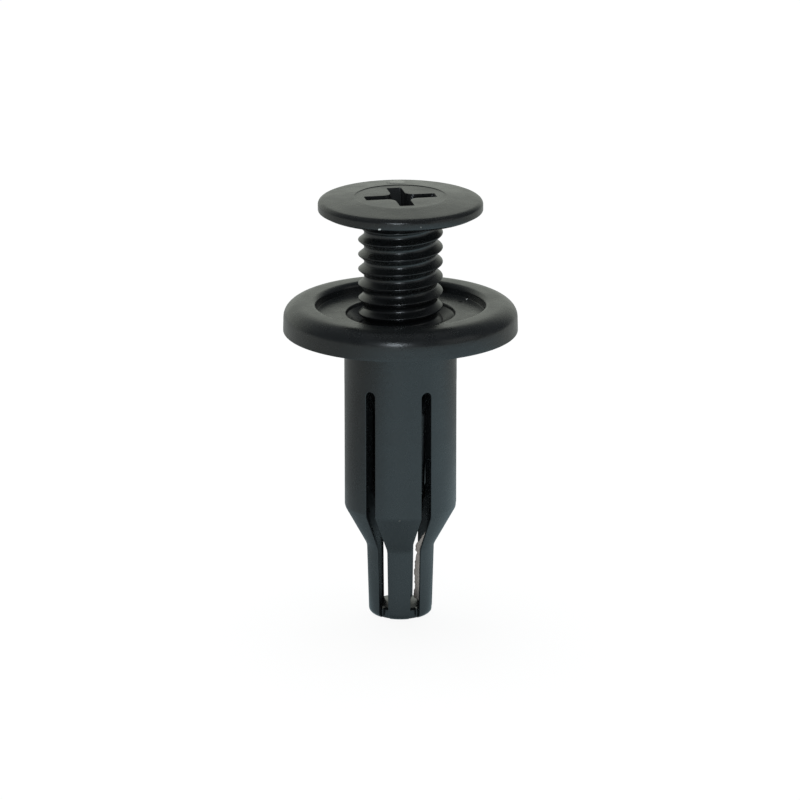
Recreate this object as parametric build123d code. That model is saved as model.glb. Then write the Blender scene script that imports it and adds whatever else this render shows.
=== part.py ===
from build123d import *

import os
from math import radians, tan

# A two-piece plastic rivet for a round panel hole: a slotted sleeve with a dished flange,
# and a cross-recessed screw that is pressed or turned down into it.
# Millimetres, +Z up along the common axis.
# The origin is the centre of the flange's underside, where the rivet seats on the panel.
# The screw is shown drawn out, as the rivet is supplied.

# Flange of the sleeve
flange_d = 20.0             # outer diameter at the seat edge
flange_draft = 0.07         # how far the rim leans in from the seat edge to the lip, on the radius
lip_height = 2.4            # top of the raised lip above the seat
lip_outer_share = 0.476     # rounding from the lip's top to the rim, as a share of the lip's width
lip_inner_share = 0.13      # chamfer from the lip's top into the dish, as a share of the lip's width
dish_draft = 0.05           # how far the dish wall leans out from floor to lip
counterbore_d = 9.35        # shallow recess round the mouth of the bore
counterbore_depth = 0.25
lead_in = 0.3               # chamfer at the mouth of the bore

# Shank, cone and nose of the sleeve
shank_d = 9.6               # fits a 10 mm panel hole
shank_length = 15.6         # from the seat to the shoulder of the cone
cone_length = 3.45
nose_top_d = 5.82           # nose diameter where the cone ends
nose_length = 6.3
nose_draft_deg = 1.6        # taper of the nose, each side
nose_wall = 0.5             # at the bottom
nose_bore_d = 4.76          # inside the legs, where the funnel ends
funnel_depth = 13.9         # from the seat down to where the bore starts to narrow
funnel_length = 2.0
nose_end_thickness = 0.75   # disc that joins the legs at the bottom
nose_end_chamfer = 0.35     # bevel of the bottom edge

# Slots that part the shank, cone and nose into legs
slot_count = 6
slot_width = 0.92
slot_start = 4.4            # from the seat down to the rounded top of a slot
slot_turn = -7.5            # degrees from +X to the nearest slot

# Head of the screw
head_d = 14.0
head_thickness = 1.4
head_crown = 0.3            # how far its top falls from the middle to the edge
head_side = 0.85            # height of the upright part of its edge
head_edge_chamfer = 0.45    # chamfer under the edge
head_top_chamfer = 0.08     # softened upper edge
head_clearance = 0.15       # between the head and the dish wall, on the radius
head_proud = 0.5            # how far the head stands above the lip when it is home
head_ring_d = 7.8           # faint round land that surrounds the cross recess
head_ring_depth = 0.05

# Cross recess
recess_span = 6.1           # across two opposite arms, at the top
recess_arm = 1.25           # width of an arm, at the top
recess_corner = 0.75        # rounding between the arms, at the top
recess_depth = 2.0
recess_floor_span = 3.6
recess_floor_arm = 0.9
recess_floor_corner = 0.45
recess_pit_d = 1.5          # small conical pit in the recess floor
recess_pit_depth = 0.4
recess_turn = 5.9           # degrees from +X to the nearest arm, as the screw is shown

# Threaded shank of the screw
thread_d = 7.2
thread_root_d = 6.2
thread_pitch = 1.28         # single start, right-handed
thread_crest_flat = 0.1
thread_root_flat = 0.34
thread_turn = -5.1          # degrees from -X to where a crest stands crest_height above the seat, as shown
crest_height = 7.93
thread_overrun = 0.04       # how far the cutting groove stands out past the crest
groove_overlap = 8          # degrees by which each half turn of the groove runs past its half of the shank
neck_length = 0.9           # plain length under the head
neck_relief = 0.05          # how far the neck lies under the thread root, on the radius
pilot_draft = 0.2           # how far the pilot leans in from the taper to the tip, on the radius
tip_chamfer = 0.4
tip_gap = 1.2               # between the tip and the disc of the nose when the screw is home

# How the two pieces stand to each other
bore_clearance = 0.08       # between the thread and the bore, on the radius
pilot_clearance = 0.13      # between the pilot and the bore of the nose, on the radius
screw_travel = 8.8          # how far the screw is drawn out from home

# Derived sizes
flange_r = flange_d / 2
shank_r = shank_d / 2
head_r = head_d / 2
thread_r = thread_d / 2
root_r = thread_root_d / 2
neck_r = root_r - neck_relief
bore_r = thread_r + bore_clearance
counterbore_r = counterbore_d / 2
dish_depth = head_thickness - head_proud
dish_floor = lip_height - dish_depth
dish_r = head_r + head_clearance
lip_inner_r = dish_r + dish_draft
lip_outer_r = flange_r - flange_draft
lip_width = lip_outer_r - lip_inner_r
lip_chamfer = lip_inner_share * lip_width
cone_start = -shank_length
cone_end = cone_start - cone_length
nose_end = cone_end - nose_length
nose_top_r = nose_top_d / 2
nose_end_r = nose_top_r - nose_length * tan(radians(nose_draft_deg))
head_under = dish_floor + screw_travel
head_top = head_under + head_thickness
nose_bore_r = nose_bore_d / 2
funnel_start = -funnel_depth
funnel_end = funnel_start - funnel_length
pilot_r = nose_bore_r - pilot_clearance
taper_start = funnel_start + screw_travel
taper_end = taper_start - funnel_length * (thread_r - pilot_r) / (bore_r - nose_bore_r)
tip_r = pilot_r - pilot_draft
tip_end = nose_end + nose_end_thickness + tip_gap + screw_travel


def section(*corners):
    """A flat face with corners of (radius, height)."""
    return make_face(Polyline(*corners, close=True))


def turned(outline, arc=360):
    """A face turned about Z, from +X through arc degrees."""
    return revolve(Plane.XZ * outline, Axis.Z, arc)


def sleeve_blank():
    """The sleeve before its slots are cut: flange, shank, cone and hollow nose.

    The bore narrows in a funnel inside the legs. The screw's taper lies just clear of it when
    the head is home, and the pilot runs down into the nose.
    """
    outline = section(
        (shank_r, 0),
        (shank_r, cone_start),
        (nose_top_r, cone_end),
        (nose_end_r, nose_end + nose_end_chamfer),
        (nose_end_r - nose_end_chamfer, nose_end),
        (0, nose_end),
        (0, nose_end + nose_end_thickness),
        (nose_end_r - nose_wall, nose_end + nose_end_thickness),
        (nose_bore_r, funnel_end),
        (bore_r, funnel_start),
        (bore_r, dish_floor - counterbore_depth - lead_in),
        (bore_r + lead_in, dish_floor - counterbore_depth),
        (counterbore_r, dish_floor - counterbore_depth),
        (counterbore_r, dish_floor),
        (dish_r, dish_floor),
        (lip_inner_r, lip_height - lip_chamfer),
        (lip_inner_r + lip_chamfer, lip_height),
        (lip_outer_r, lip_height),
        (flange_r, 0),
    )
    lip_edge = outline.vertices().sort_by_distance((lip_outer_r, lip_height, 0))[0]
    return turned(fillet(lip_edge, lip_outer_share * lip_width))


def slot_cutter():
    """One radial slot towards +X: round at its top, and open at the bottom of the nose."""
    overrun = slot_width
    height = -slot_start - nose_end + overrun
    outline = SlotOverall(2 * height, slot_width, rotation=90)
    middle = -slot_start - height
    start = nose_end_r - nose_wall
    plane = Plane(origin=(start, 0, middle), x_dir=(0, 1, 0), z_dir=(1, 0, 0))
    return extrude(plane * outline, amount=shank_r + overrun - start)


def sleeve():
    """The slotted sleeve."""
    slots = PolarLocations(0, slot_count, start_angle=slot_turn) * slot_cutter()
    return sleeve_blank() - slots


def head():
    """The low-crowned head of the screw, before the recess is cut."""
    edge_top = head_top - head_crown
    return turned(section(
        (0, head_top),
        (head_ring_d / 2, head_top),
        (head_r - head_top_chamfer, edge_top),
        (head_r, edge_top - head_top_chamfer),
        (head_r, edge_top - head_side),
        (head_r - head_edge_chamfer, head_under),
        (0, head_under),
    ))


def half_shank():
    """Half of the screw's shank, before its thread is cut: neck, crest cylinder, taper and pilot."""
    neck_end = head_under - neck_length
    return turned(section(
        (0, head_under),
        (neck_r, head_under),
        (neck_r, neck_end),
        (thread_r, neck_end - (thread_r - neck_r)),
        (thread_r, taper_start),
        (pilot_r, taper_end),
        (tip_r, tip_end + tip_chamfer),
        (tip_r - tip_chamfer, tip_end),
        (0, tip_end),
    ), 180)


def groove_half_turn():
    """Half a turn of the thread groove, rising from +X, with its floor on the root diameter."""
    middle = (thread_r + root_r) / 2
    floor = thread_root_flat / 2
    mouth = (thread_pitch - thread_crest_flat) / 2
    flare = (mouth - floor) / (thread_r - root_r)
    outside = thread_r + thread_overrun - middle
    inside = root_r - middle
    outline = section(
        (inside, floor),
        (outside, mouth + flare * thread_overrun),
        (outside, -mouth - flare * thread_overrun),
        (inside, -floor),
    )
    arc = 180 + 2 * groove_overlap
    path = Helix(thread_pitch, thread_pitch * arc / 360, middle)
    profile = Plane(origin=path @ 0, x_dir=(1, 0, 0), z_dir=path % 0) * outline
    groove = sweep(profile, path=path, is_frenet=True)
    return Pos(0, 0, -thread_pitch * groove_overlap / 360) * Rot(0, 0, -groove_overlap) * groove


def threaded_half(first_groove):
    """Half of the threaded shank, whose lowest groove starts at the height first_groove."""
    turns = int((head_under - first_groove) / thread_pitch) + 1
    grooves = [Pos(0, 0, first_groove + turn * thread_pitch) * groove_half_turn() for turn in range(turns)]
    return half_shank() - grooves


def threaded_shank():
    """The threaded shank from its two halves, turned so that a crest stands at crest_height."""
    turns_below = int((crest_height - taper_end) / thread_pitch) + 1
    first_groove = crest_height - (turns_below + 1 / 2) * thread_pitch
    near_half = threaded_half(first_groove)
    far_half = Rot(0, 0, 180) * threaded_half(first_groove + thread_pitch / 2)
    return Rot(0, 0, 180 + thread_turn) * (near_half + far_half)


def cross_outline(span, arm, corner):
    """A cross of two equal arms with rounded inner corners."""
    cross = Rectangle(span, arm) + Rectangle(arm, span)
    inner_corners = cross.vertices().sort_by_distance((0, 0, 0))[:4]
    return fillet(inner_corners, corner)


def cross_recess():
    """The tapered cross recess with the conical pit in its floor."""
    floor_height = head_top - recess_depth
    mouth = cross_outline(recess_span, recess_arm, recess_corner)
    floor = cross_outline(recess_floor_span, recess_floor_arm, recess_floor_corner)
    mouth_face = (Pos(0, 0, head_top) * mouth).face()
    floor_face = (Pos(0, 0, floor_height) * floor).face()
    walls = loft([mouth_face, floor_face], ruled=True)
    pit = turned(section(
        (0, floor_height),
        (recess_pit_d / 2, floor_height),
        (0, floor_height - recess_pit_depth),
    ))
    return Rot(0, 0, recess_turn) * (walls + pit)


def screw():
    """The cross-recessed screw."""
    land = Pos(0, 0, head_top - head_ring_depth / 2) * Cylinder(head_ring_d / 2, head_ring_depth)
    return head() + threaded_shank() - cross_recess() - land


os.makedirs("parts", exist_ok=True)
export_step(sleeve(), "parts/sleeve.step")
export_step(screw(), "parts/screw.step")
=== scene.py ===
# %% [markdown]
# # A two-piece plastic rivet, drawn out as supplied
# The rivet clips a panel into a round hole. A slotted sleeve goes through the hole, and a screw
# with a coarse thread is pressed into it, so that its legs spread behind the panel. Turning the
# screw brings it out again. The model below is built in millimetres and stored in metres.

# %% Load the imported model
import math

import bmesh
import bpy
import numpy as np
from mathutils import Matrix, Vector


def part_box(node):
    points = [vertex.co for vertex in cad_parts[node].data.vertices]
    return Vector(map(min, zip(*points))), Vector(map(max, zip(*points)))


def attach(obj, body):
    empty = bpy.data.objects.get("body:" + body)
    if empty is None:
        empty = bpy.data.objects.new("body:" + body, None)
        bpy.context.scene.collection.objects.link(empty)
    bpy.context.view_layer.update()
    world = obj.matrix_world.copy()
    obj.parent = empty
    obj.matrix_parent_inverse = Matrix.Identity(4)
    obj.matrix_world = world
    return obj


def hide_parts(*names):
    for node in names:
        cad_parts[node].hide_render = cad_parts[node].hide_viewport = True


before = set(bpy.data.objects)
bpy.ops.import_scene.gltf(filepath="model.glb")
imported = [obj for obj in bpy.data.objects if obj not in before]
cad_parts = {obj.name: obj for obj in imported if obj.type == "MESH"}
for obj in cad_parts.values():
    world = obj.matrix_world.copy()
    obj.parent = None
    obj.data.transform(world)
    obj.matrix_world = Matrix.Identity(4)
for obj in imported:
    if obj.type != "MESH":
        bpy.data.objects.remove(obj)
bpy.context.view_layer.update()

MM = 0.001
sleeve_low, sleeve_high = (np.array(corner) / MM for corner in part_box("sleeve"))
screw_low, screw_high = (np.array(corner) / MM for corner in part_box("screw"))
print("sleeve box, mm", sleeve_low.round(2), sleeve_high.round(2))
print("screw box, mm", screw_low.round(2), screw_high.round(2))

# %% [markdown]
# ## Rounded lines
# Both pieces are moulded, so nearly every edge is a small round that catches the light. A piece
# could be modelled sharp and bevelled afterwards, but a bevel struggles where many short edges
# meet. Here every outline is a line of corners, and each corner is swapped for its round before
# the surface is made.

# %% Rounded and spaced lines
def rounded(corners, steps=8, loop=False):
    """A line of corners (across, up, reach before, reach after) with each corner rounded.

    On a round, point = corner + (start - corner) * (1 - sin t) + (end - corner) * (1 - cos t),
    for t from 0 to 90 degrees, where start and end lie the two reaches away along the line.
    """
    corners = np.array(corners, float)
    place = corners[:, :2]
    before = np.roll(place, 1, axis=0) - place
    after = np.roll(place, -1, axis=0) - place
    before /= np.maximum(np.linalg.norm(before, axis=1, keepdims=True), 1e-9)
    after /= np.maximum(np.linalg.norm(after, axis=1, keepdims=True), 1e-9)
    turn = np.linspace(0, math.pi / 2, steps + 1)[None, :, None]
    start = (before * corners[:, 2:3])[:, None]
    end = (after * corners[:, 3:4])[:, None]
    line = place[:, None] + start * (1 - np.sin(turn)) + end * (1 - np.cos(turn))
    line = line.reshape(-1, 2)
    if loop:
        return line
    moved = np.linalg.norm(np.diff(line, axis=0), axis=1) > 1e-6
    return line[np.append(True, moved)]


def spaced(line, gap):
    """The same line with its long steps divided evenly, so that none is longer than gap."""
    step = np.diff(line, axis=0)
    parts = np.maximum(np.ceil(np.linalg.norm(step, axis=1) / gap).astype(int), 1)
    owner = np.repeat(np.arange(len(parts)), parts)
    share = (np.arange(len(owner)) - (np.cumsum(parts) - parts)[owner]) / parts[owner]
    return np.vstack([line[owner] + share[:, None] * step[owner], line[-1:]])


bend = rounded([(0, 0, 0, 0), (1, 0, 0.5, 0.5), (1, 1, 0, 0)])
print("a bend of three corners:", len(bend), "points rounded,", len(spaced(bend, 0.1)), "spaced")


# %% [markdown]
# ## Grids of points
# Each surface is worked out as a grid of points, and one mesh takes several grids. Where two
# grids share an edge their points fall together, so welding them closes the skin, and the
# normals can then be turned outwards in one go.

# %% Turn grids into one closed piece
def on_circle(radius, angle, height):
    """Points at a radius, an angle in degrees and a height, stacked as x, y, z."""
    radius, angle, height = np.broadcast_arrays(radius, np.radians(angle), height)
    return np.stack([radius * np.cos(angle), radius * np.sin(angle), height], axis=-1)


def quads(rows, columns):
    """The corner numbers of every four-sided face of a grid, row by row."""
    corner = np.arange(rows * columns).reshape(rows, columns)
    around = [corner[:-1, :-1], corner[:-1, 1:], corner[1:, 1:], corner[1:, :-1]]
    return np.stack(around, axis=-1).reshape(-1, 4)


def make_piece(name, grids):
    """One closed mesh from grids of points in millimetres, welded where they fall together."""
    firsts = np.cumsum([0] + [grid.shape[0] * grid.shape[1] for grid in grids[:-1]])
    points = np.concatenate([grid.reshape(-1, 3) for grid in grids]) * MM
    faces = np.concatenate([quads(*grid.shape[:2]) + first for grid, first in zip(grids, firsts)])
    mesh = bpy.data.meshes.new(name)
    mesh.from_pydata(points, [], faces)
    skin = bmesh.new()
    skin.from_mesh(mesh)
    bmesh.ops.remove_doubles(skin, verts=skin.verts, dist=0.0008 * MM)
    bmesh.ops.dissolve_degenerate(skin, edges=skin.edges, dist=0.0004 * MM)
    bmesh.ops.recalc_face_normals(skin, faces=skin.faces)
    open_edges = sum(edge.is_boundary for edge in skin.edges)
    volume = skin.calc_volume() / MM**3
    skin.to_mesh(mesh)
    skin.free()
    mesh.shade_smooth()
    piece = bpy.data.objects.new(name, mesh)
    bpy.context.scene.collection.objects.link(piece)
    print(f"{name}: {len(mesh.polygons)} faces, {open_edges} open edges, {volume:.0f} cubic mm")
    return piece


# %% [markdown]
# ## The sleeve's outline
# The sleeve is round apart from its six slots. Its outline runs up the inside, from the disc
# that joins the legs at the bottom of the nose, through the inner cone, the bore and the dished
# flange, over the lip, and down the outside to the nose again. The rounds are larger here than on
# a machined part, because a mould gives them for nothing. The lip's outer round is an ellipse,
# wider than it is deep.

# %% Sizes of the sleeve in millimetres
SLOTS = 6
SLOT_TURN = -7.5
SLOT_HALF = 0.46
SLOT_TOP = -4.4
SHANK_R = 4.8
SHOULDER = -15.6
NOSE_TOP = -19.05
NOSE_TOP_R = 2.91
NOSE_END = sleeve_low[2]
NOSE_END_R = 2.734
DISC_TOP = NOSE_END + 0.75
DISC_RISE = 0.4
NOTCH_R = 2.234
BORE_R = 3.68
NOSE_BORE_R = 2.38
FUNNEL_START = -13.9
FUNNEL_END = -15.9
LIP_TOP = sleeve_high[2]
FLANGE_R = sleeve_high[0]
LIP_OUTER_R = 9.94
DISH_R = 7.2
DISH_FLOOR = 1.5
RECESS_R = 4.675
MOUTH_R = 4.6
MOUTH_Z = 1.22
JOIN = -4.2
print("nose ends at", round(NOSE_END, 2), "flange is", round(2 * FLANGE_R, 2), "across")

# %% Outlines of the sleeve
# Each corner is a radius, a height, and how far its round reaches before and after it.
side_r = np.interp(DISC_TOP, [NOSE_END, NOSE_TOP], [NOSE_END_R, NOSE_TOP_R])
outside = rounded([
    (SHANK_R, JOIN, 0, 0),
    (SHANK_R, SHOULDER, 0.22, 0.22),
    (NOSE_TOP_R, NOSE_TOP, 0.25, 0.25),
    (side_r, DISC_TOP, 0, 0),
])
inside = rounded([
    (BORE_R, JOIN, 0, 0),
    (BORE_R, FUNNEL_START, 0.3, 0.3),
    (NOSE_BORE_R, FUNNEL_END, 0.2, 0.2),
    (NOTCH_R, DISC_TOP, 0, 0),
])
flange = rounded([
    (BORE_R, JOIN, 0, 0),
    (BORE_R, MOUTH_Z - (MOUTH_R - BORE_R), 0.08, 0.08),
    (MOUTH_R, MOUTH_Z, 0.03, 0.03),
    (RECESS_R, DISH_FLOOR, 0.08, 0.06),
    (DISH_R - 0.05, DISH_FLOOR, 0.05, 0.05),
    (DISH_R, LIP_TOP, 0.42, 0.42),
    (LIP_OUTER_R, LIP_TOP, 1.5, 1.19),
    (FLANGE_R, 0, 0.04, 0.04),
    (SHANK_R, 0, 0.15, 0.15),
    (SHANK_R, JOIN, 0, 0),
], steps=10)
print("points on the outline:", len(outside), len(inside), len(flange))

# %% [markdown]
# ## Slots with soft edges
# Six slots part the sleeve into legs. They could be cut with a Boolean, but that leaves ragged
# faces on a curved wall. Here the skin between two slots is one grid, from the inside bottom over
# the flange to the outside bottom, and its two side edges follow the slot's outline. Near a slot
# the skin sinks in a quarter round, so that each edge draws the fine light line of a moulded leg.

# %% The rows of the sleeve's grid
FIRST_ROW = -5.2
ROW_GAP = 0.45
END_GAP = 0.12

slot_arc = SLOT_TOP - SLOT_HALF
arc_rows = slot_arc + SLOT_HALF * np.cos(np.linspace(0, math.pi / 2, 13))
edge_rows = SLOT_TOP + np.array([0.01, 0.025, 0.045, 0.07, 0.1, 0.15])
heights = np.concatenate([edge_rows, arc_rows, np.arange(FIRST_ROW, DISC_TOP, -ROW_GAP),
                          outside[:, 1], inside[:, 1]])
heights = np.unique(heights.round(4))[::-1]
heights = heights[np.append(True, np.diff(heights) < -0.004)]
outside_r = np.interp(heights, outside[::-1, 1], outside[::-1, 0])
inside_r = np.interp(heights, inside[::-1, 1], inside[::-1, 0])
outside_rows = np.stack([outside_r, heights], axis=1)
inside_rows = np.stack([inside_r, heights], axis=1)
end_rows = spaced(rounded([
    (side_r, DISC_TOP, 0, 0),
    (NOSE_END_R, NOSE_END, 0.5, 0.5),
    (NOTCH_R, NOSE_END, 0, 0),
]), END_GAP)
outline = np.vstack([inside_rows[::-1], spaced(flange, ROW_GAP)[1:-1], outside_rows, end_rows[1:]])
outer_from = len(outline) - len(outside_rows) - len(end_rows) + 1
print("rows of the sleeve:", len(outline))


# %% The skin between two slots
EDGE_STEPS = np.array([0, 0.004, 0.013, 0.027, 0.045, 0.065, 0.09, 0.14, 0.24])
OUTER_EDGE = 0.05
INNER_EDGE = 0.02
STEPS_TO_MIDDLE = 15


def slot_half_width(height):
    """Half the slot's width: nothing above its top, a circle in its round top, then constant."""
    circle = np.sqrt(np.clip(SLOT_HALF**2 - (height - slot_arc)**2, 0, None))
    return np.where(height > slot_arc, np.where(height < SLOT_TOP, circle, 0), SLOT_HALF)


def leg_grid(line, edge):
    """The skin from one slot to the next, 60 degrees on, over a line of (radius, height).

    A column is a fixed distance from the slot's edge at first, and then a fixed share of the
    angle that is left. Within one edge radius of the slot, the skin sinks along its normal by
    edge * (1 - sqrt(1 - (1 - distance / edge)^2)).
    """
    radius, height = line[:, :1], line[:, 1:]
    half_width = slot_half_width(height)
    middle = 180 / SLOTS
    near = np.degrees(np.arcsin(np.clip((half_width + EDGE_STEPS) / radius, 0, 1)))
    share = np.linspace(0, 1, STEPS_TO_MIDDLE)[None, 1:]
    half = np.hstack([near, near[:, -1:] + share * (middle - near[:, -1:])])
    angle = np.hstack([half, 2 * middle - half[:, -2::-1]])
    from_slot = np.minimum(angle, 2 * middle - angle)
    across = radius * np.sin(np.radians(from_slot))
    distance = np.where(height > slot_arc, np.hypot(across, height - slot_arc), across) - SLOT_HALF
    part = np.clip(1 - distance / edge, 0, 1)
    sink = edge * (1 - np.sqrt(1 - part**2))
    along = np.gradient(line, axis=0)
    along /= np.linalg.norm(along, axis=1, keepdims=True)
    radius = radius + sink * along[:, 1:]
    height = height - sink * along[:, :1]
    return radius, angle, height


# %% One leg's skin
row = np.arange(len(outline))
edge = np.where(row < outer_from, INNER_EDGE, OUTER_EDGE)
edge = np.maximum(edge * np.clip(np.minimum(row, row[::-1]) / 6, 0, 1), 1e-6)[:, None]
leg_r, leg_angle, leg_z = leg_grid(outline, edge)
leg_skin = on_circle(leg_r, leg_angle, leg_z)
print("grid of one leg:", leg_skin.shape[:2])

# %% [markdown]
# ## Slot walls and the disc at the bottom
# A slot's side wall joins the outer edge to the inner edge row by row. At the bottom the legs
# run into a disc, and each slot ends there in a notch with a flat back. A ring of points round
# the disc is shrunk to its middle, which closes it above and below, and the middle of its upper
# face stands a little proud, as on the real nose.

# %% Slot walls and notches
turned_slots = SLOT_TURN + np.arange(SLOTS) * 360 / SLOTS


def spin(points, degrees):
    """The points turned about Z by an angle in degrees."""
    turn = np.radians(degrees)
    x = points[..., 0] * np.cos(turn) - points[..., 1] * np.sin(turn)
    y = points[..., 0] * np.sin(turn) + points[..., 1] * np.cos(turn)
    return np.stack([x, y, points[..., 2]], axis=-1)


slotted = heights <= SLOT_TOP
inside_edges = leg_skin[:len(heights)][::-1][slotted]
outside_edges = leg_skin[outer_from:]
outside_edges = outside_edges[np.append(slotted, np.ones(len(end_rows) - 1, bool))]
notch_half = np.degrees(np.arcsin(SLOT_HALF / NOTCH_R))
notch_z = np.linspace(DISC_TOP, NOSE_END, len(end_rows))
notch_angle = np.linspace(-notch_half, notch_half, 7)
notch = on_circle(NOTCH_R, notch_angle[None, :], notch_z[:, None])
across = np.linspace(0, 1, 5)[None, :, None]
walls = []
for column, notch_column in ((0, -1), (-1, 0)):
    notch_edge = notch[1:, notch_column]
    if column == -1:
        notch_edge = spin(notch_edge, 360 / SLOTS)
    inner = np.vstack([inside_edges[:, column], notch_edge])[:, None]
    outer = outside_edges[:, column][:, None]
    walls.append(outer * (1 - across) + inner * across)
print("rows of a slot's wall:", len(walls[0]))

# %% The disc, and one closed sleeve
ring_top = np.vstack([notch[0], leg_skin[0, 1:-1]])
ring_bottom = np.vstack([notch[-1], leg_skin[-1, 1:-1]])
shrink = np.linspace(1, 0, 7)[:, None, None]
sleeve_grids = []
for turn in turned_slots:
    sleeve_grids += [spin(grid, turn) for grid in (leg_skin, *walls, notch)]
for ring, rise in ((ring_top, DISC_RISE), (ring_bottom, 0)):
    loop = np.vstack([spin(ring, turn) for turn in turned_slots] + [spin(ring[:1], SLOT_TURN)])
    centre = np.array([0, 0, loop[0, 2] + rise])
    sleeve_grids.append(centre + (loop - centre)[None] * shrink)
sleeve_piece = make_piece("sleeve_moulding", sleeve_grids)
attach(sleeve_piece, "sleeve")
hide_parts("sleeve")

# %% [markdown]
# ## The screw's cross recess
# The recess takes a cross-head driver, and its walls lean in so that the driver wedges. It could
# be cut with a Boolean, but that leaves slivers in the flat top. Here its outline at the mouth and
# at the floor have the same number of points, and a wall row lies part of the way between them.
# The points of the mouth also set the angles of every column of the screw, so the head, the neck
# and the thread meet point to point.

# %% Outlines of the recess
RECESS_TURN = 5.9
# Each cross is its span, the width of an arm, the round between two arms and that of an arm's end.
MOUTH_CROSS = (6.1, 1.25, 0.75, 0.12)
FLOOR_CROSS = (3.6, 0.9, 0.45, 0.08)


def cross_line(span, arm, corner, end_corner):
    """A closed cross of two equal arms, rounded between the arms and at their ends.

    The three corners of one quarter are turned by 0, 90, 180 and 270 degrees. Each is swapped
    for its round, and each straight run is divided into seven.
    """
    s, a = span / 2, arm / 2
    arm_corners = np.array([
        (s, -a, end_corner, end_corner),
        (s, a, end_corner, end_corner),
        (a, a, corner, corner),
    ])
    loop = []
    for quarter in range(4):
        turn = math.radians(90 * quarter)
        x = arm_corners[:, 0] * math.cos(turn) - arm_corners[:, 1] * math.sin(turn)
        y = arm_corners[:, 0] * math.sin(turn) + arm_corners[:, 1] * math.cos(turn)
        loop.append(np.column_stack([x, y, arm_corners[:, 2:]]))
    line = rounded(np.vstack(loop), steps=10, loop=True).reshape(12, 11, 2)
    gaps = np.roll(line[:, 0], -1, axis=0) - line[:, -1]
    share = np.linspace(0, 1, 8)[1:-1, None]
    between = line[:, -1:] + share[None] * gaps[:, None]
    return np.concatenate([line, between], axis=1).reshape(-1, 2)


mouth_line = cross_line(*MOUTH_CROSS)
floor_line = cross_line(*FLOOR_CROSS)
columns = np.degrees(np.unwrap(np.arctan2(mouth_line[:, 1], mouth_line[:, 0])))
columns = np.append(columns, columns[0] + 360) + RECESS_TURN
print("columns round the screw:", len(columns), "widest step, degrees:", np.diff(columns).max().round(2))

# %% [markdown]
# ## The screw's thread
# A screw thread is one ridge wound round a core. The Screw modifier could wind a tooth, but its
# ends would still have to be closed by hand. Here the grid itself is wound: each row is a helix,
# at a fixed place on the tooth, so crest and root stay crisp lines at any angle. Where the thread
# runs into the neck or the taper, the radius is held to a cone and the height to the cone's end.

# %% Sizes of the screw in millimetres
PITCH = 1.28
CREST_HALF = 0.05
FLANK_END = 0.47
THREAD_R = 3.6
ROOT_R = 3.1
NECK_R = 3.05
CREST_HEIGHT = 7.93
CREST_ANGLE = 174.9
DRAWN_OUT = 8.8
HEAD_TOP = screw_high[2]
HEAD_UNDER = HEAD_TOP - 1.4
NECK_END = HEAD_UNDER - 0.9
TAPER_START = FUNNEL_START + DRAWN_OUT
TAPER_END = TAPER_START - 2.077
PILOT_R = 2.25
TIP_END = screw_low[2]
TIP_R = 2.05
print("thread from", round(TAPER_END, 2), "to", round(NECK_END, 2), "mm")

# %% The threaded shank
half_tooth = spaced(rounded([
    (0, THREAD_R, 0, 0),
    (CREST_HALF, THREAD_R, 0.05, 0.05),
    (FLANK_END, ROOT_R, 0.11, 0.11),
    (PITCH / 2, ROOT_R, 0, 0),
], steps=4), 0.16)
tooth = np.vstack([half_tooth, (PITCH, 0) + half_tooth[-2:0:-1] * (-1, 1)])
lowest = CREST_HEIGHT + PITCH * (columns[0] - CREST_ANGLE) / 360
lowest -= PITCH * (math.ceil((lowest - TAPER_END) / PITCH) + 1)
turns = math.ceil((NECK_END - lowest) / PITCH) + 1
starts = lowest + PITCH * np.arange(turns)
tooth_z = (starts[:, None] + tooth[None, :, 0]).reshape(-1, 1)
tooth_r = np.tile(tooth[:, 1], turns)[:, None]
thread_z = np.clip(tooth_z + PITCH * (columns[None] - columns[0]) / 360, TAPER_END, NECK_END)
cone_z = [TAPER_END, TAPER_START, NECK_END - (THREAD_R - NECK_R), NECK_END]
cone_r = [PILOT_R, THREAD_R, THREAD_R, NECK_R]
thread_r = np.minimum(tooth_r, np.interp(thread_z, cone_z, cone_r))
thread = on_circle(thread_r, columns[None], thread_z)
print("rows of the thread:", len(thread), "turns:", turns)

# %% [markdown]
# ## The head and the tip
# The head is a low dome with a round edge, and a faint round land, sunk by a hair, surrounds the
# recess. Below the thread the screw tapers to a plain pilot, which finds its way into the nose.
# Both are turned outlines on the thread's own columns, so they meet it point to point.

# %% The head and the tip
HEAD_R = screw_high[0]
EDGE_TOP = HEAD_TOP - 0.3
HEAD_SIDE = 0.85
LAND_R = 3.9
LAND_TOP = HEAD_TOP - 0.05
RECESS_FROM = 3.3

head_line = spaced(rounded([
    (NECK_R, NECK_END, 0, 0),
    (NECK_R, HEAD_UNDER, 0.25, 0.25),
    (HEAD_R - 0.45, HEAD_UNDER, 0.06, 0.06),
    (HEAD_R, EDGE_TOP - HEAD_SIDE, 0.05, 0.05),
    (HEAD_R, EDGE_TOP, 0.35, 0.4),
    (LAND_R + 0.03, HEAD_TOP, 0.03, 0.03),
    (LAND_R - 0.03, LAND_TOP, 0.03, 0.03),
    (RECESS_FROM, LAND_TOP, 0, 0),
], steps=7), 0.4)
head = on_circle(head_line[:, :1], columns[None], head_line[:, 1:])

tip_line = spaced(rounded([
    (PILOT_R, TAPER_END, 0, 0),
    (TIP_R, TIP_END, 0.5, 0.5),
    (0, TIP_END, 0, 0),
], steps=6), 0.5)
tip = on_circle(tip_line[:, :1], columns[None], tip_line[:, 1:])
print("rows of the head and the tip:", len(head), len(tip))

# %% [markdown]
# ## The walls of the recess
# From the land the skin narrows to the cross, turns down over a small round, and follows the
# leaning walls to the floor, where a conical pit takes the point of the driver. Every row is an
# outline between two others, so the same points run from the land to the bottom of the pit.

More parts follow.
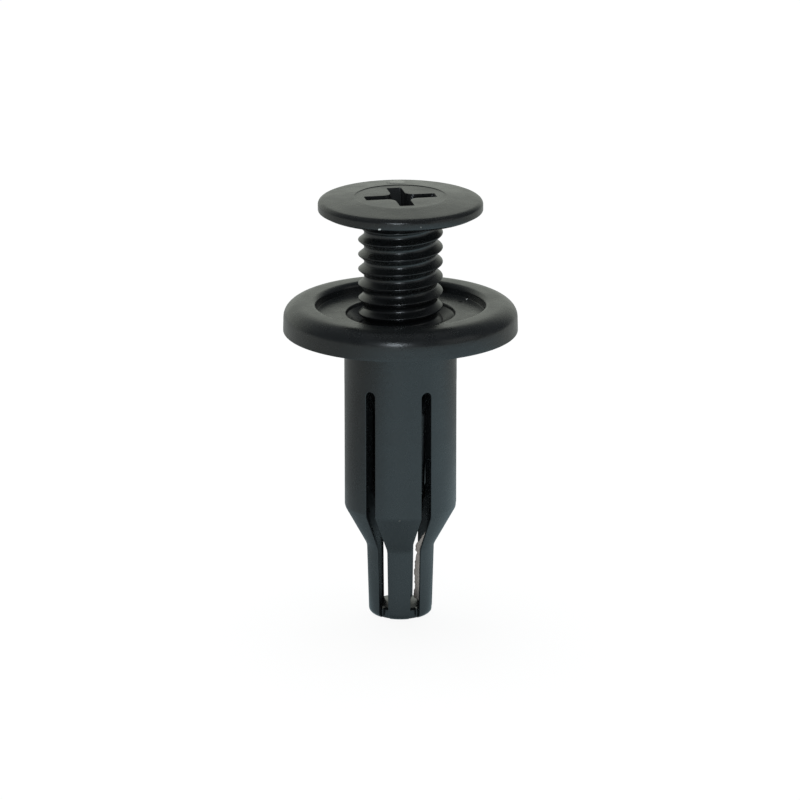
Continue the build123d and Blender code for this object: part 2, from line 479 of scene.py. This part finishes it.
# %% The recess, and one closed screw
RECESS_DEPTH = 1.95
BRIM_ROUND = 0.025
PIT_R = 0.75
PIT_DEPTH = 0.4


def outline_row(line, height):
    """One closed row of the recess: an outline turned with the screw, at a height."""
    loop = np.vstack([line, line[:1]])
    return spin(np.column_stack([loop, np.full(len(loop), height)]), RECESS_TURN)


mouth_normal = np.roll(mouth_line, -1, axis=0) - np.roll(mouth_line, 1, axis=0)
mouth_normal = mouth_normal[:, ::-1] * (1, -1)
mouth_normal /= np.linalg.norm(mouth_normal, axis=1, keepdims=True)
brim = outline_row(mouth_line + BRIM_ROUND * mouth_normal, LAND_TOP)
rows = [head[-1]]
rows += [head[-1] * (1 - share) + brim * share for share in (0.3, 0.6, 0.85)]
for turn in np.linspace(0, math.pi / 2, 6):
    line = mouth_line + BRIM_ROUND * (1 - math.sin(turn)) * mouth_normal
    rows.append(outline_row(line, LAND_TOP - BRIM_ROUND * (1 - math.cos(turn))))
for share in (0.25, 0.5, 0.75, 0.93, 1):
    line = mouth_line + share * (floor_line - mouth_line)
    rows.append(outline_row(line, LAND_TOP - BRIM_ROUND - share * (RECESS_DEPTH - BRIM_ROUND)))
floor_z = LAND_TOP - RECESS_DEPTH
pit = PIT_R * mouth_line / np.linalg.norm(mouth_line, axis=1, keepdims=True)
rows += [outline_row(floor_line + share * (pit - floor_line), floor_z) for share in (0.3, 1)]
rows += [outline_row(pit * share, floor_z - PIT_DEPTH * (1 - share)) for share in (0.5, 0)]
screw_piece = make_piece("screw_moulding", [thread, head, tip, np.stack(rows)])
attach(screw_piece, "screw")
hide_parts("screw")

# %% [markdown]
# ## Helpers for materials
# A material is a tree of nodes. One small function adds a node with its settings and links, and
# another turns hex colours, as paint charts give them, into the linear values that light needs.

# %% Helpers for materials
def linear(hex_colour):
    """A colour written as sRGB hex, turned to the linear values that shaders use."""
    channel = np.array([int(hex_colour[i:i + 2], 16) for i in (1, 3, 5)]) / 255
    low, high = channel / 12.92, ((channel + 0.055) / 1.055) ** 2.4
    return (*np.where(channel <= 0.04045, low, high), 1.0)


def add_node(tree, kind, settings=None, links=None):
    """Add a node, set its fields and input values, and link sockets of other nodes to it.

    An input goes by its label, or by its number where several inputs share one label.
    """
    node = tree.nodes.new(kind)
    for name, value in (settings or {}).items():
        if isinstance(name, int) or name in node.inputs:
            node.inputs[name].default_value = value
        else:
            setattr(node, name, value)
    for name, socket in (links or {}).items():
        tree.links.new(socket, node.inputs[name])
    return node


def new_material(name):
    """An empty node material and its tree."""
    material = bpy.data.materials.new(name)
    material.use_nodes = True
    material.node_tree.nodes.clear()
    return material, material.node_tree


COLOUR_A = 6
COLOUR_B = 7
MIXED = 2
print("mid grey in linear light:", round(linear("#808080")[0], 3))

# %% [markdown]
# ## Moulded nylon
# The rivet is polyamide 6.6, known as nylon, coloured black in the mass and moulded against a
# fine spark-eroded steel surface. The eye sees a satin black: a soft sheen with a faint mottle,
# where the tool's texture and the glassy melt give slightly different gloss. An image of a
# surface could be wrapped round the part, but noise in the part's own coordinates has no seams.

# %% Satin black nylon
GRAIN_MM = 0.12
DIMPLE_MM = 0.42
MOTTLE_MM = 1.6
SATIN = 0.28
NYLON_IOR = 1.53


def moulded_nylon(name, colour, light_colour, nick=None):
    """Nylon moulded on a spark-eroded face: satin, with a mottle in colour and gloss.

    The real texture's grain is about 0.03 mm, too fine to show here, so it is drawn at
    GRAIN_MM. Soft dimples and the mottle of the melt are DIMPLE_MM and MOTTLE_MM across.
    A nick is a dull dark oval, given by its middle and its half sizes: it is dull where the
    length of (place - middle) / half sizes is under 1.
    """
    material, tree = new_material(name)
    place = add_node(tree, "ShaderNodeTexCoord").outputs["Object"]
    mottle, dimple, grain = (
        add_node(tree, "ShaderNodeTexNoise",
                 {"Scale": 1 / (size_mm * MM), "Detail": detail, "Roughness": 0.6},
                 {"Vector": place}).outputs["Fac"]
        for size_mm, detail in ((MOTTLE_MM, 4.0), (DIMPLE_MM, 2.0), (GRAIN_MM, 2.0)))
    tone = add_node(tree, "ShaderNodeMix", {
        "data_type": "RGBA", COLOUR_A: linear(colour), COLOUR_B: linear(light_colour)},
        {"Factor": mottle}).outputs[MIXED]
    gloss = add_node(tree, "ShaderNodeMapRange", {
        "From Min": 0.3, "From Max": 0.7, "To Min": SATIN - 0.05, "To Max": SATIN + 0.05},
        {"Value": mottle}).outputs["Result"]
    dimpled = add_node(tree, "ShaderNodeBump", {"Strength": 0.3, "Distance": 0.035 * MM},
                       {"Height": dimple}).outputs["Normal"]
    grained = add_node(tree, "ShaderNodeBump", {"Strength": 0.3, "Distance": 0.01 * MM},
                       {"Height": grain, "Normal": dimpled}).outputs["Normal"]
    shader = add_node(tree, "ShaderNodeBsdfPrincipled", {"IOR": NYLON_IOR}, {
        "Base Color": tone, "Roughness": gloss, "Normal": grained})
    if nick:
        middle, half_sizes = np.array(nick) * MM
        offset = add_node(tree, "ShaderNodeVectorMath", {"operation": "SUBTRACT", 1: middle},
                          {0: place}).outputs["Vector"]
        scaled = add_node(tree, "ShaderNodeVectorMath", {"operation": "DIVIDE", 1: half_sizes},
                          {0: offset}).outputs["Vector"]
        length = add_node(tree, "ShaderNodeVectorMath", {"operation": "LENGTH"},
                          {0: scaled}).outputs["Value"]
        shine = add_node(tree, "ShaderNodeMapRange", {
            "From Min": 0.7, "From Max": 1.1, "To Min": 0.0, "To Max": 0.5},
            {"Value": length}).outputs["Result"]
        tree.links.new(shine, shader.inputs["Specular IOR Level"])
    add_node(tree, "ShaderNodeOutputMaterial", links={"Surface": shader.outputs["BSDF"]})
    return material


# %% Both pieces in nylon
NICK = ((5.37, 2.84, DISH_FLOOR), (0.3, 0.2, 0.1))
sleeve_nylon = moulded_nylon("nylon_sleeve_satin", "#111314", "#181a1b", NICK)
screw_nylon = moulded_nylon("nylon_screw_satin", "#111313", "#18191a")
sleeve_piece.data.materials.append(sleeve_nylon)
screw_piece.data.materials.append(screw_nylon)
print("nodes of the sleeve's nylon:", len(sleeve_nylon.node_tree.nodes))

# %% [markdown]
# ## Marks of moulding and handling
# Small marks make the part real. Where the screw was cut from its runner, the head keeps a torn
# patch that is stretched pale. The rest are the nick in the dish and crumbs of dust and swarf.
# Each could be painted on, but a low mound catches the light from every side.

# %% Torn nylon and dust
# Torn nylon is stretched until it whitens, so it shows as a dull grey patch. Dust is a dry, pale
# speck with no shine. Both are uneven, with darker specks SPECKLE_MM across.
SPECKLE_MM = 0.2
DARKER = 0.6


def speckled(name, colour, roughness, foot=None):
    """A dry surface of one colour with darker specks.

    foot is a second colour and two heights in millimetres, between which it comes in downwards: painted
    shade, darker towards the bottom.
    """
    material, tree = new_material(name)
    place = add_node(tree, "ShaderNodeTexCoord").outputs["Object"]
    specks = add_node(tree, "ShaderNodeTexNoise",
                      {"Scale": 1 / (SPECKLE_MM * MM), "Detail": 3.0, "Roughness": 0.6},
                      {"Vector": place}).outputs["Fac"]
    pale = linear(colour)
    dark = (*(DARKER * value for value in pale[:3]), 1.0)
    tone = add_node(tree, "ShaderNodeMix", {
        "data_type": "RGBA", COLOUR_A: pale, COLOUR_B: dark}, {"Factor": specks}).outputs[MIXED]
    # The foot's colour is painted shade, darker towards the bottom.
    if foot:
        foot_shade_colour, top, bottom = foot
        height = add_node(tree, "ShaderNodeSeparateXYZ", links={"Vector": place}).outputs["Z"]
        low = add_node(tree, "ShaderNodeMapRange", {"From Min": top * MM, "From Max": bottom * MM},
                       {"Value": height}).outputs["Result"]
        tone = add_node(tree, "ShaderNodeMix", {"data_type": "RGBA", COLOUR_B: linear(foot_shade_colour)},
                        {"Factor": low, COLOUR_A: tone}).outputs[MIXED]
    shader = add_node(tree, "ShaderNodeBsdfPrincipled", {"Roughness": roughness, "IOR": NYLON_IOR},
                      {"Base Color": tone})
    add_node(tree, "ShaderNodeOutputMaterial", links={"Surface": shader.outputs["BSDF"]})
    return material


torn = speckled("nylon_torn_pale", "#6a6c68", 0.38)
dust = speckled("dust_pale", "#dcdfdc", 0.8)
print("materials of the marks:", torn.name, dust.name)


# %% Low mounds
def mound(name, body, centre, facing, half_sizes, material, power=2):
    """A closed low mound: height = proud * (1 - share^power)^(1/2) over a wavy oval.

    The centre is in millimetres, facing is the azimuth from +X and the elevation of its normal,
    and half_sizes are its reach across, its reach upwards and how far it stands proud.
    """
    azimuth, elevation = np.radians(facing)
    out = np.array([math.cos(elevation) * math.cos(azimuth), math.cos(elevation) * math.sin(azimuth),
                    math.sin(elevation)])
    side = np.array([-math.sin(azimuth), math.cos(azimuth), 0])
    rise = np.cross(out, side)
    share = np.sin(np.linspace(0, math.pi / 2, 9))[:, None, None]
    turn = np.linspace(0, 2 * math.pi, 41)[None, :, None]
    wavy = share * (1 + 0.1 * np.sin(3 * turn + 0.7) + 0.06 * np.sin(7 * turn))
    flat = wavy * (half_sizes[0] * np.cos(turn) * side + half_sizes[1] * np.sin(turn) * rise)
    proud = half_sizes[2] * np.sqrt(np.clip(1 - share**power, 0, 1)) * out
    sunk = 0.3 * half_sizes[2] * out
    piece = make_piece(name, [centre + flat + proud - sunk, centre + flat[::-1] - sunk])
    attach(piece, body)
    piece.data.materials.append(material)


GATE_OUT = 5.25
gate_z = HEAD_TOP - (HEAD_TOP - EDGE_TOP) * (GATE_OUT - LAND_R) / (HEAD_R - LAND_R)
mound("gate_patch", "screw", (0.17, GATE_OUT, gate_z), (84.9, 84.5), (0.85, 0.85, 0.09), torn, 8)
mound("dish_crumb", "sleeve", (6.01, 3.48, DISH_FLOOR), (264.9, 60), (0.07, 0.07, 0.1), dust)
mound("rim_crumb_a", "screw", (-2.34, -6.59, 10.60), (250.5, 0), (0.13, 0.07, 0.05), dust)
mound("rim_crumb_b", "screw", (1.09, -6.91, 10.78), (279.0, 0), (0.07, 0.08, 0.04), torn)
mound("shoulder_crumb", "sleeve", (-0.5, -4.775, SHOULDER), (264.0, -20), (0.09, 0.05, 0.04), torn)

# %% [markdown]
# ## Flash in a slot of the nose
# Where the halves of the tool meet, the melt can squeeze into the gap and set as a thin film,
# which toolmakers call flash. It fills one side of a slot in the nose, with a ragged free edge.
# It is one grid: a row for each height, and a short closed line across the film in each row.

# %% The film of flash
# Nylon this thin lets light through; that light is painted in as a pale brownish skin, and its foot is darker
# with painted shade.
FILM_TOP = -17.0
FILM_FOOT = -23.75
FILM_WIDENS = -22.0
FILM_SLOT = -67.5
FILM_THICK = 0.035
FILM_INSET = 0.17
FILM_REACH = 0.28
TEAR_Z = -19.4

film_z = np.linspace(FILM_TOP, FILM_FOOT, 90)
reach = FILM_REACH + 0.03 * np.sin(2.3 * film_z) + 0.018 * np.sin(7.1 * film_z + 1)
reach += 0.012 * np.sin(17 * film_z)
reach -= 0.12 * np.exp(-((film_z - TEAR_Z) / 0.18) ** 2)
reach += 0.07 * np.interp(film_z, [FILM_FOOT, FILM_WIDENS], [1, 0])
reach *= np.clip(np.minimum((FILM_TOP - film_z) / 1.6, (film_z - FILM_FOOT) / 0.3), 0.02, 1)
share = np.array([0, 0.35, 0.7, 1, 1, 0.7, 0.35, 0, 0])[None]
behind_face = np.array([0, 0, 0, 0.3, 0.7, 1, 1, 1, 0])[None] * FILM_THICK
skin_r = np.interp(film_z, outside[::-1, 1], outside[::-1, 0]) - FILM_INSET
at_wall = np.sqrt(skin_r**2 - SLOT_HALF**2)[:, None]
film_out = at_wall - 1.3 * share * reach[:, None] - behind_face
film_across = SLOT_HALF + 0.02 - share * reach[:, None]
film = np.stack([film_out, film_across, np.broadcast_to(film_z[:, None], film_out.shape)], axis=-1)
ends = [np.broadcast_to(film[row].mean(axis=0), film[row].shape)[None] for row in (0, -1)]
film_piece = make_piece("sleeve_flash", [spin(np.concatenate([ends[0], film, ends[1]]), FILM_SLOT)])
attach(film_piece, "sleeve")
# The pale colour is painted light through the film, and the dark foot colour is painted shade.
film_piece.data.materials.append(
    speckled("nylon_film_painted_light_and_shade", "#b5aaa2", 0.45, ("#4f4640", FILM_WIDENS, FILM_FOOT)))

# %% [markdown]
# ## Floor
# A pale floor under the nose takes the shadow, and to the camera it is nearly white, as a studio
# sheet is. A glossy black part shows little of its own colour, and its look comes from what it
# mirrors, so the sheet glows with a second tone that only mirrored rays meet, a painted
# reflection: a painted cool pool of light in front of the rivet that fades towards the back and
# the left, and painted shade round the rivet. It draws the front of the shank bluish and leaves
# its left side dark.

# %% The sheet under the rivet
# Uncoated paper: pale and dull, so that it takes a soft shadow.
FLOOR_HALF = 1.5
corners = np.array([(-1, -1, 0), (1, -1, 0), (1, 1, 0), (-1, 1, 0)]) * FLOOR_HALF
corners[:, 2] = NOSE_END * MM
floor_mesh = bpy.data.meshes.new("floor")
floor_mesh.from_pydata(corners, [], [(0, 1, 2, 3)])
floor = bpy.data.objects.new("floor", floor_mesh)
bpy.context.scene.collection.objects.link(floor)
paper, tree = new_material("paper_pale_painted_reflection")
floor_mesh.materials.append(paper)
paper_look = add_node(tree, "ShaderNodeBsdfPrincipled", {"Base Color": linear("#eef1f2"), "Roughness": 0.8})
print("floor at", round(NOSE_END, 2), "mm")

# %% The tone that the plastic mirrors
# The pool is a painted pool of light, and the near tone, darker than the far one, is painted shade round the
# rivet.
POOL = (35.0, -75.0)
POOL_EDGE = (60, 130)
SHEET_EDGE = (55, 110)
POOL_COLOUR = (0.68, 0.91, 1.0, 1)
SHADED_NEAR_SHEET = (0.26, 0.28, 0.28, 1)
FAR_SHEET = (0.42, 0.44, 0.42, 1)

spot = add_node(tree, "ShaderNodeTexCoord").outputs["Object"]
from_pool, from_axis, from_shade = (
    add_node(tree, "ShaderNodeVectorMath", {"operation": "DISTANCE", 1: np.array([x, y, NOSE_END]) * MM},
             {0: spot}).outputs["Value"]
    for x, y in (POOL, (0, 0), (0, 14)))
pool = add_node(tree, "ShaderNodeMapRange", {
    "From Min": POOL_EDGE[0] * MM, "From Max": POOL_EDGE[1] * MM, "To Min": 1.0, "To Max": 0.0,
    "interpolation_type": "SMOOTHSTEP"}, {"Value": from_pool}).outputs["Result"]
far = add_node(tree, "ShaderNodeMapRange", {
    "From Min": SHEET_EDGE[0] * MM, "From Max": SHEET_EDGE[1] * MM,
    "interpolation_type": "SMOOTHSTEP"}, {"Value": from_axis}).outputs["Result"]
sheet_tone = add_node(tree, "ShaderNodeMix", {
    "data_type": "RGBA", COLOUR_A: SHADED_NEAR_SHEET, COLOUR_B: FAR_SHEET}, {"Factor": far}).outputs[MIXED]
mirrored = add_node(tree, "ShaderNodeMix", {"data_type": "RGBA", COLOUR_B: POOL_COLOUR},
                    {"Factor": pool, COLOUR_A: sheet_tone}).outputs[MIXED]
print("pool of light at", POOL, "mm")

# %% How strongly it is mirrored
# The mirrored tone is darker with painted shade where the rivet's shadow falls, and its painted sheen is
# stronger at low angles.
SHADE_EDGE = (8, 24)
SHADE_LEVELS = (0.55, 1.2)
SHEEN_FACING = (0.05, 0.55)
SHEEN_LEVELS = (0.62, 1.0)

shade = add_node(tree, "ShaderNodeMapRange", {
    "From Min": SHADE_EDGE[0] * MM, "From Max": SHADE_EDGE[1] * MM, "To Min": SHADE_LEVELS[0],
    "To Max": SHADE_LEVELS[1], "interpolation_type": "SMOOTHSTEP"}, {"Value": from_shade}).outputs["Result"]
facing = add_node(tree, "ShaderNodeLayerWeight", {"Blend": 0.5}).outputs["Facing"]
sheen = add_node(tree, "ShaderNodeMapRange", {
    "From Min": SHEEN_FACING[0], "From Max": SHEEN_FACING[1], "To Min": SHEEN_LEVELS[0],
    "To Max": SHEEN_LEVELS[1]}, {"Value": facing}).outputs["Result"]
strength = add_node(tree, "ShaderNodeMath", {"operation": "MULTIPLY"}, {0: shade, 1: sheen}).outputs["Value"]
print("levels of the shade and the sheen:", SHADE_LEVELS, SHEEN_LEVELS)

# %% White to the camera, mirrored tone to the plastic
PAPER_WHITE = 0.92

ray = add_node(tree, "ShaderNodeLightPath").outputs
sheet = add_node(tree, "ShaderNodeMix", {"data_type": "RGBA", COLOUR_B: (1.0, 1.0, 1.0, 1.0)},
                 {"Factor": ray["Is Camera Ray"], COLOUR_A: mirrored}).outputs[MIXED]
level = add_node(tree, "ShaderNodeMix", {"B": 1.0},
                 {"Factor": ray["Is Camera Ray"], "A": strength}).outputs["Result"]
# The painted reflection glows as emission, seen by mirrored rays only; camera rays see white.
glow = add_node(tree, "ShaderNodeEmission", links={"Color": sheet, "Strength": level})
to_camera = add_node(tree, "ShaderNodeMath", {"operation": "MULTIPLY", 1: PAPER_WHITE},
                     {0: ray["Is Camera Ray"]}).outputs["Value"]
amount = add_node(tree, "ShaderNodeMath", {"operation": "MAXIMUM"},
                  {0: to_camera, 1: ray["Is Glossy Ray"]}).outputs["Value"]
mixed = add_node(tree, "ShaderNodeMixShader", links={
    "Fac": amount, 1: paper_look.outputs["BSDF"], 2: glow.outputs["Emission"]})
add_node(tree, "ShaderNodeOutputMaterial", links={"Surface": mixed.outputs["Shader"]})
print("nodes of the floor:", len(tree.nodes))

# %% [markdown]
# ## Light
# Black plastic shows what it mirrors. The sides that face up mirror a bright band low behind the
# rivet, a little to its left, and the sides that face the camera mirror a dim room, so they stay
# black above the floor's reflection. A soft lamp overhead gives the plain level of light that
# colours need, and isn't mirrored. A narrow tall lamp near the camera makes the small highlight
# on the flange, and a dim panel on the right lifts that side.

# %% The world
BAND_TURN = -0.17
BAND_COLOUR = (0.70, 0.74, 0.67, 1)
ROOM_COLOUR = (0.11, 0.12, 0.13, 1)

world = bpy.data.worlds.new("studio")
world.use_nodes = True
bpy.context.scene.world = world
tree = world.node_tree
tree.nodes.clear()
direction = add_node(tree, "ShaderNodeTexCoord").outputs["Generated"]
parts = add_node(tree, "ShaderNodeSeparateXYZ", links={"Vector": direction}).outputs
back_facing = add_node(tree, "ShaderNodeMath", {"operation": "MULTIPLY_ADD", 1: BAND_TURN},
                       {0: parts["X"], 2: parts["Y"]}).outputs["Value"]
behind = add_node(tree, "ShaderNodeMapRange", {
    "From Min": 0.3, "From Max": 0.95, "interpolation_type": "SMOOTHSTEP"},
    {"Value": back_facing}).outputs["Result"]
low = add_node(tree, "ShaderNodeMapRange", {
    "From Min": 0.45, "From Max": 0.8, "To Min": 1.0, "To Max": 0.0, "interpolation_type": "SMOOTHSTEP"},
    {"Value": parts["Z"]}).outputs["Result"]
band = add_node(tree, "ShaderNodeMath", {"operation": "MULTIPLY"}, {0: behind, 1: low}).outputs["Value"]
room = add_node(tree, "ShaderNodeMix", {
    "data_type": "RGBA", COLOUR_A: ROOM_COLOUR, COLOUR_B: BAND_COLOUR}, {"Factor": band}).outputs[MIXED]
glow = add_node(tree, "ShaderNodeBackground", {"Strength": 1.0}, {"Color": room}).outputs["Background"]
plain = add_node(tree, "ShaderNodeBackground", {"Color": (1, 1, 1, 1), "Strength": 1.0}).outputs["Background"]
seen = add_node(tree, "ShaderNodeLightPath").outputs["Is Camera Ray"]
mixed = add_node(tree, "ShaderNodeMixShader", links={"Fac": seen, 1: glow, 2: plain})
add_node(tree, "ShaderNodeOutputWorld", links={"Surface": mixed.outputs["Shader"]})
print("nodes of the world:", len(tree.nodes))

# %% The lamps
LAMP_AWAY = 0.6


def soft_lamp(name, azimuth, elevation, size, watts, colour, mirrored=True):
    """A rectangular lamp LAMP_AWAY from the rivet, facing it, at an azimuth and elevation."""
    light = bpy.data.lights.new(name, "AREA")
    light.shape = "RECTANGLE"
    light.size, light.size_y = size
    light.energy = watts
    light.color = colour
    lamp = bpy.data.objects.new(name, light)
    turn, rise = math.radians(azimuth), math.radians(elevation)
    lamp.location = LAMP_AWAY * np.array([math.sin(turn) * math.cos(rise),
                                          -math.cos(turn) * math.cos(rise), math.sin(rise)])
    lamp.rotation_euler = (math.pi / 2 - rise, 0, turn)
    lamp.visible_glossy = mirrored
    bpy.context.scene.collection.objects.link(lamp)


soft_lamp("overhead_fill", 180, 75, (0.6, 0.6), 6.0, (1.0, 1.0, 0.98), mirrored=False)
soft_lamp("front_strip", -10.5, 18, (0.035, 0.26), 0.95, (0.84, 0.93, 1.0))
soft_lamp("right_panel", 57, 20, (0.4, 0.35), 0.16, (1.0, 1.0, 0.97))
print("lamps:", len(bpy.data.lights))

# %% [markdown]
# ## Camera
# The camera looks down a little on the standing rivet, from far away with a long lens, so its
# uprights stay nearly parallel. Its place and lens come from the rivet's outline in the picture:
# AIM is the point it turns to, and the two centres say where that point falls in the frame.

# %% The camera
AZIMUTH = -5.1
ELEVATION = 16.82
DISTANCE = 0.45
PIXELS = 800
FOCAL_PX = 5264.1
AIM = np.array([0, 0, -0.006])
CENTRE_X = 400.5
CENTRE_Y = 396.656

azimuth, elevation = math.radians(AZIMUTH), math.radians(ELEVATION)
back = np.array([math.sin(azimuth) * math.cos(elevation),
                 -math.cos(azimuth) * math.cos(elevation), math.sin(elevation)])
lens = bpy.data.cameras.new("camera")
lens.sensor_width = 36
lens.lens = lens.sensor_width * FOCAL_PX / PIXELS
lens.clip_start, lens.clip_end = 0.01, 10
lens.shift_x = (PIXELS / 2 - CENTRE_X) / PIXELS
lens.shift_y = (CENTRE_Y - PIXELS / 2) / PIXELS
camera = bpy.data.objects.new("camera", lens)
camera.location = AIM + DISTANCE * back
camera.rotation_euler = (math.pi / 2 - elevation, 0, azimuth)
bpy.context.scene.collection.objects.link(camera)
bpy.context.scene.camera = camera
bpy.context.scene.view_settings.view_transform = "Standard"
print("lens", round(lens.lens, 1), "mm, camera at", camera.location[:])
